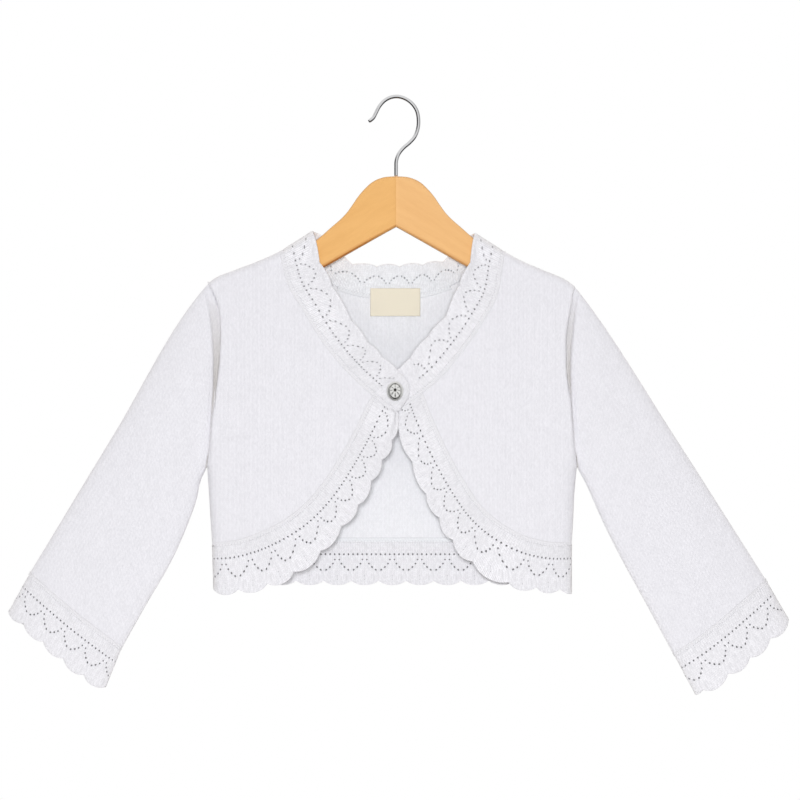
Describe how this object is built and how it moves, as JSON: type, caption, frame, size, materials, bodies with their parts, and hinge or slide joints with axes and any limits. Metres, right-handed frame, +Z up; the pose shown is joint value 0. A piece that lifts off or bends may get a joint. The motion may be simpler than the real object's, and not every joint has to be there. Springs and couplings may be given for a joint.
{
  "type": "knitted shrug on a wooden hanger",
  "caption": "Toddler's long-sleeved knitted bolero shrug with scalloped lace edges and a chest button, on a wooden hanger with a wire hook.",
  "frame": {"origin": "inner top of the hanger's hook, where it hangs on its rail", "axes": "+Z up, the shrug's front faces -Y, +X is to the right as seen from the front"},
  "size_m": [0.6258, 0.0287, 0.4825],
  "materials": {
    "knit": "fine white cotton jersey knit, matte",
    "lace": "white cotton pointelle knit, matte",
    "wood": "clear satin varnish on light beech",
    "steel": "polished wire",
    "silver": "silver-plated, patterned face",
    "tape": "woven cream tape, bare"
  },
  "bodies": {
    "root": {"back": "knit", "front_left": "knit", "front_right": "knit", "sleeve_left": "knit", "sleeve_right": "knit", "lace_cuff_left": "lace", "lace_cuff_right": "lace", "lace_front_left": "lace", "lace_front_right": "lace", "lace_hem_back": "lace", "lace_neck_back": "lace", "lace_neck_left": "lace", "lace_neck_right": "lace", "hanger_arm_left": "wood", "hanger_arm_right": "wood", "hook": "steel", "button": "silver", "label": "tape"}
  },
  "joints": []
}
